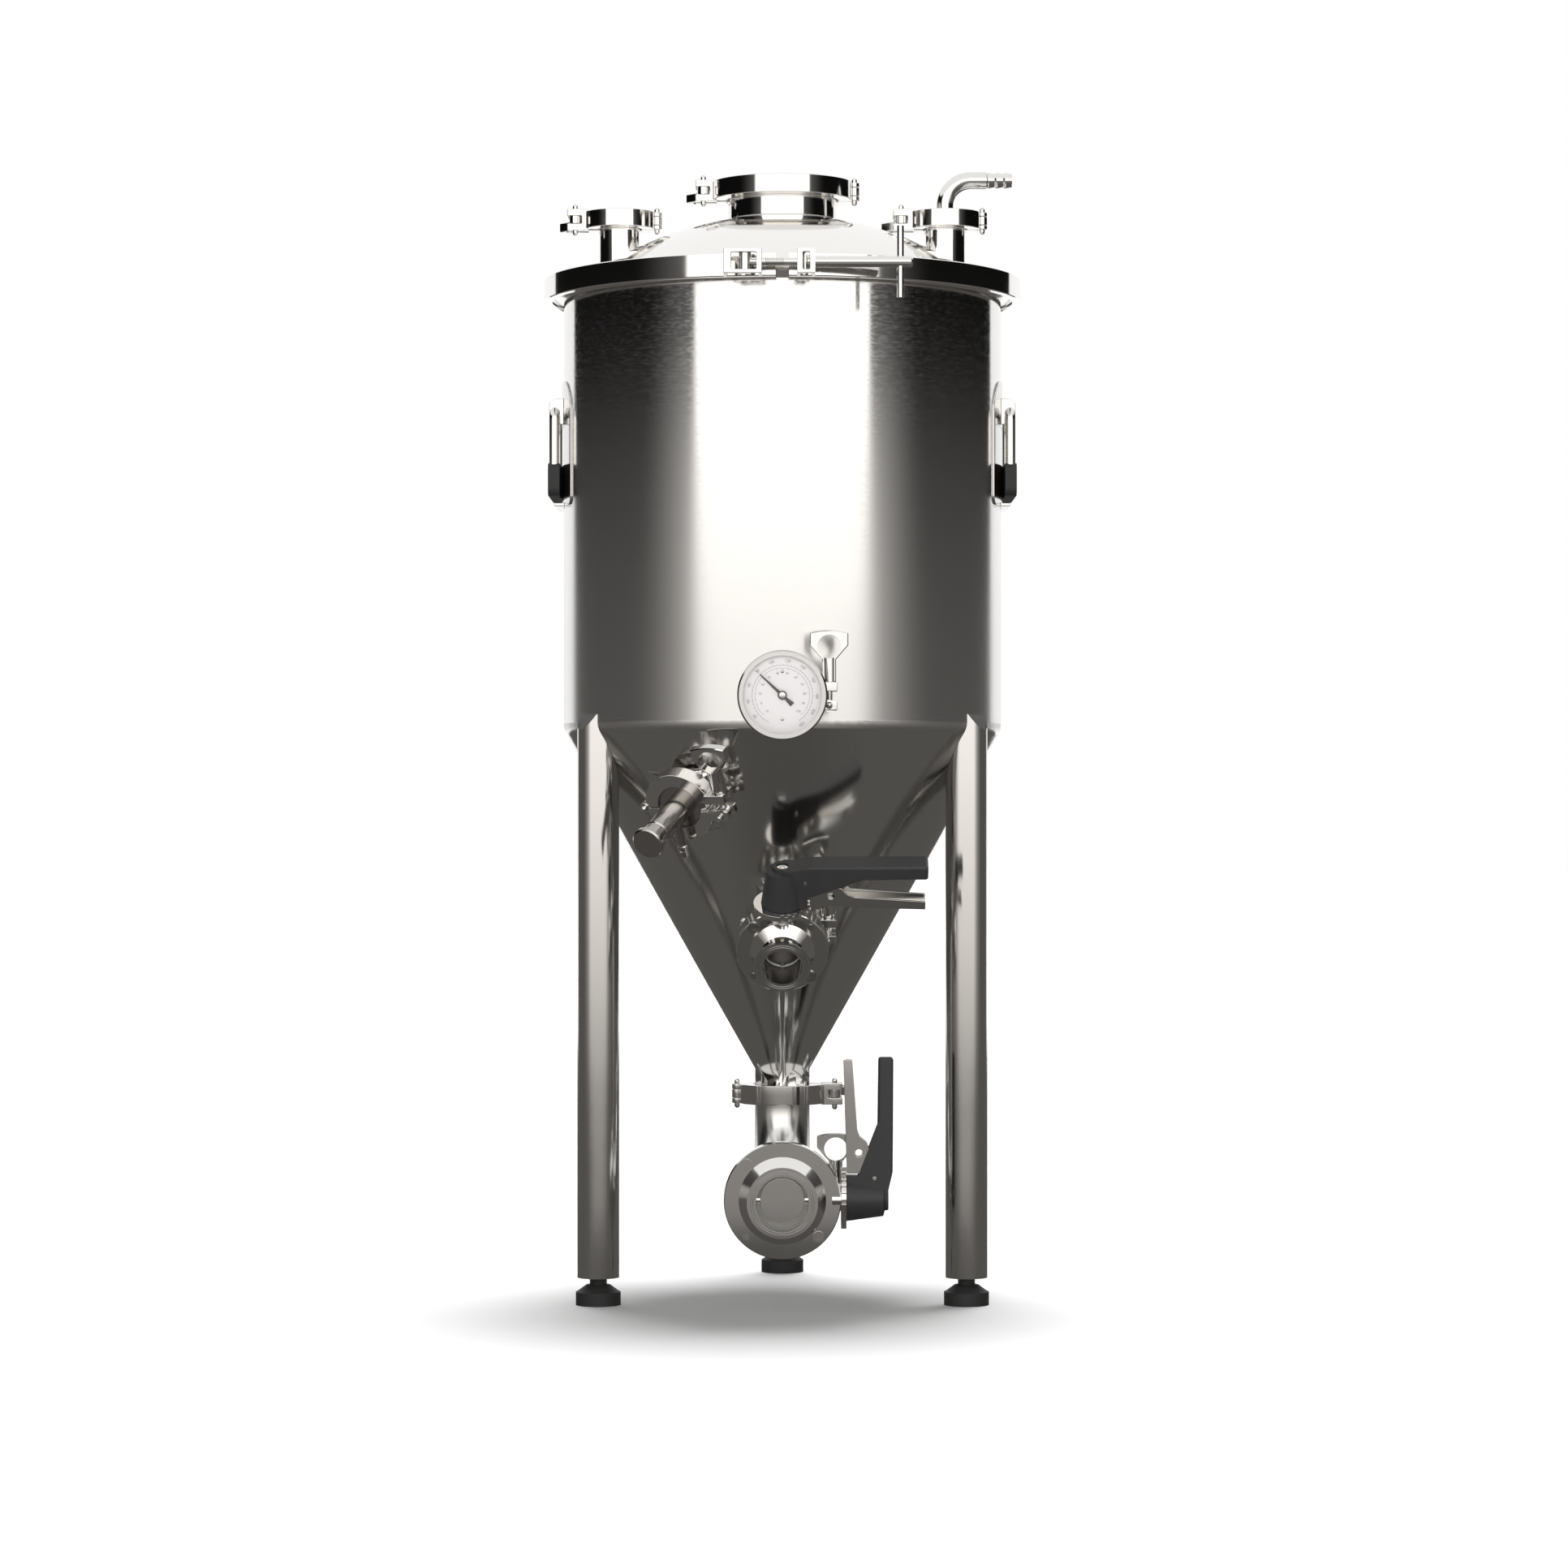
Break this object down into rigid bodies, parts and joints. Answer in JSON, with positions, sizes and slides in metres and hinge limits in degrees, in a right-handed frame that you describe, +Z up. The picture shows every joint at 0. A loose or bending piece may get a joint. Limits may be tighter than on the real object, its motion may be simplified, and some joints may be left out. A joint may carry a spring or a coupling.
{
  "type": "conical fermenter",
  "caption": "Steel conical fermenter on legs with a domed clamped lid, blow-off tube, thermometer, sampling tap, racking arm and lever-operated butterfly valves.",
  "frame": {"origin": "on the floor under the tank's axis, at the centre of the circle of the three feet", "axes": "+Z up along the tank's axis, the dump valve, thermometer and band bolt face -Y, +X to the right seen from the front"},
  "size_m": [0.4446, 0.5009, 1.048],
  "materials": {
    "brushed_shell": "fine level brushing",
    "polished_steel": "polished stainless steel",
    "handle_plastic": "satin moulded black",
    "black_rubber": "matte black rubber",
    "white_silicone": "smooth white silicone",
    "dial_glass": "clear flat glass",
    "dial_face": "pale printed dial",
    "pointer_black": "black paint"
  },
  "bodies": {
    "tank": {"tank_cylinder": "brushed_shell", "tank_cone": "brushed_shell", "leg_front_left": "polished_steel", "leg_front_right": "polished_steel", "leg_rear": "polished_steel", "handle_bracket_left": "polished_steel", "handle_bracket_right": "polished_steel", "lid_shell": "polished_steel", "lid_band_left": "polished_steel", "lid_band_right": "polished_steel", "lid_band_brackets": "polished_steel", "lid_band_bolt": "polished_steel", "port_cap_left": "polished_steel", "port_cap_centre": "polished_steel", "blow_off_tube": "polished_steel", "clamps_lid_ports": "polished_steel", "clamp_lid_centre": "polished_steel", "clamps_wall_ports": "polished_steel", "clamps_outlet": "polished_steel", "clamp_bolts_and_pins": "polished_steel", "thermometer_case": "polished_steel", "sample_valve_body": "polished_steel", "racking_arm": "polished_steel", "racking_valve_inner": "polished_steel", "racking_valve_outer": "polished_steel", "dump_elbow": "polished_steel", "dump_valve_inner": "polished_steel", "dump_valve_outer": "polished_steel", "valve_bolts": "polished_steel", "valve_index_plates": "polished_steel", "clamp_gaskets": "white_silicone", "lid_gasket": "white_silicone", "valve_seats": "white_silicone", "thermometer_glass": "dial_glass", "thermometer_dial": "dial_face"},
    "dump_handle": {"dump_handle": "handle_plastic", "dump_stem_and_disc": "polished_steel"},
    "dump_trigger": {"dump_trigger": "polished_steel"},
    "racking_handle": {"racking_handle": "handle_plastic", "racking_stem_and_disc": "polished_steel"},
    "racking_trigger": {"racking_trigger": "polished_steel"},
    "thermometer_pointer": {"thermometer_pointer": "pointer_black"},
    "sample_knob": {"sample_valve_knob": "polished_steel"},
    "bail_left": {"handle_bail_left": "polished_steel", "handle_grip_left": "black_rubber"},
    "bail_right": {"handle_bail_right": "polished_steel", "handle_grip_right": "black_rubber"},
    "foot_front_left": {"foot_front_left": "black_rubber"},
    "foot_front_right": {"foot_front_right": "black_rubber"},
    "foot_rear": {"foot_rear": "black_rubber"},
    "band_nut": {"lid_band_nut": "polished_steel", "lid_band_t_bar": "polished_steel"},
    "wing_nut_lid_left": {"wing_nut_lid_left": "polished_steel"},
    "wing_nut_lid_right": {"wing_nut_lid_right": "polished_steel"},
    "wing_nut_lid_centre": {"wing_nut_lid_centre": "polished_steel"},
    "wing_nut_thermometer": {"wing_nut_thermometer": "polished_steel"},
    "wing_nut_sample": {"wing_nut_sample": "polished_steel"},
    "wing_nut_racking": {"wing_nut_racking": "polished_steel"},
    "wing_nut_bottom": {"wing_nut_bottom": "polished_steel"},
    "wing_nut_outlet": {"wing_nut_outlet": "polished_steel"}
  },
  "joints": [
    {"name": "dump_handle_turn", "type": "hinge", "parent": "tank", "child": "dump_handle", "pos_m": [0, -0.1257, 0.098], "axis": [1, 0, 0], "range_deg": [0, 90]},
    {"name": "dump_trigger_squeeze", "type": "hinge", "parent": "dump_handle", "child": "dump_trigger", "pos_m": [0.0834, -0.1257, 0.1183], "axis": [0, 1, 0], "range_deg": [0, 10], "stiffness_Nm_per_rad": 3},
    {"name": "racking_handle_turn", "type": "hinge", "parent": "tank", "child": "racking_handle", "pos_m": [0, -0.16392, 0.32832], "axis": [0, 0.4924, -0.8704], "range_deg": [0, 90]},
    {"name": "racking_trigger_squeeze", "type": "hinge", "parent": "racking_handle", "child": "racking_trigger", "pos_m": [0.0203, -0.19933, 0.3909], "axis": [0, -0.8704, -0.4924], "range_deg": [0, 10], "stiffness_Nm_per_rad": 3},
    {"name": "thermometer_pointer_turn", "type": "hinge", "parent": "tank", "child": "thermometer_pointer", "pos_m": [0, -0.2628, 0.5516], "axis": [0, 1, 0], "range_deg": [-79, 200], "stiffness_Nm_per_rad": 0.0005},
    {"name": "sample_knob_turn", "type": "hinge", "parent": "tank", "child": "sample_knob", "pos_m": [-0.11396, -0.21432, 0.42762], "axis": [-0.4086, -0.7685, -0.4924], "range_deg": [0, 180]},
    {"name": "bail_left_swing", "type": "hinge", "parent": "tank", "child": "bail_left", "pos_m": [-0.211, 0, 0.82], "axis": [0, 1, 0], "range_deg": [0, 90]},
    {"name": "bail_right_swing", "type": "hinge", "parent": "tank", "child": "bail_right", "pos_m": [0.211, 0, 0.82], "axis": [0, -1, 0], "range_deg": [0, 90]},
    {"name": "foot_front_left_turn", "type": "hinge", "parent": "tank", "child": "foot_front_left", "pos_m": [-0.16801, -0.097, 0.02], "axis": [0, 0, 1], "continuous": true},
    {"name": "foot_front_right_turn", "type": "hinge", "parent": "tank", "child": "foot_front_right", "pos_m": [0.16801, -0.097, 0.02], "axis": [0, 0, 1], "continuous": true},
    {"name": "foot_rear_turn", "type": "hinge", "parent": "tank", "child": "foot_rear", "pos_m": [0, 0.194, 0.02], "axis": [0, 0, 1], "continuous": true},
    {"name": "band_nut_turn", "type": "hinge", "parent": "tank", "child": "band_nut", "pos_m": [0.104, -0.238, 0.9342], "axis": [1, 0, 0], "continuous": true},
    {"name": "wing_nut_lid_left_turn", "type": "hinge", "parent": "tank", "child": "wing_nut_lid_left", "pos_m": [-0.1932, 0.0128, 1.002], "axis": [0, 1, 0], "continuous": true},
    {"name": "wing_nut_lid_right_turn", "type": "hinge", "parent": "tank", "child": "wing_nut_lid_right", "pos_m": [0.1108, 0.0128, 1.002], "axis": [0, 1, 0], "continuous": true},
    {"name": "wing_nut_lid_centre_turn", "type": "hinge", "parent": "tank", "child": "wing_nut_lid_centre", "pos_m": [-0.0737, 0.0128, 1.0292], "axis": [0, 1, 0], "continuous": true},
    {"name": "wing_nut_thermometer_turn", "type": "hinge", "parent": "tank", "child": "wing_nut_thermometer", "pos_m": [0.0412, -0.226, 0.5644], "axis": [0, 0, 1], "continuous": true},
    {"name": "wing_nut_sample_turn", "type": "hinge", "parent": "tank", "child": "wing_nut_sample", "pos_m": [-0.05602, -0.19312, 0.46831], "axis": [-0.2312, -0.4348, 0.8704], "continuous": true},
    {"name": "wing_nut_racking_turn", "type": "hinge", "parent": "tank", "child": "wing_nut_racking", "pos_m": [0.0412, -0.13907, 0.35709], "axis": [0, -0.4924, 0.8704], "continuous": true},
    {"name": "wing_nut_bottom_turn", "type": "hinge", "parent": "tank", "child": "wing_nut_bottom", "pos_m": [0.0487, 0.0128, 0.1869], "axis": [0, 1, 0], "continuous": true},
    {"name": "wing_nut_outlet_turn", "type": "hinge", "parent": "tank", "child": "wing_nut_outlet", "pos_m": [0.0487, -0.0889, 0.1108], "axis": [0, 0, 1], "continuous": true}
  ]
}
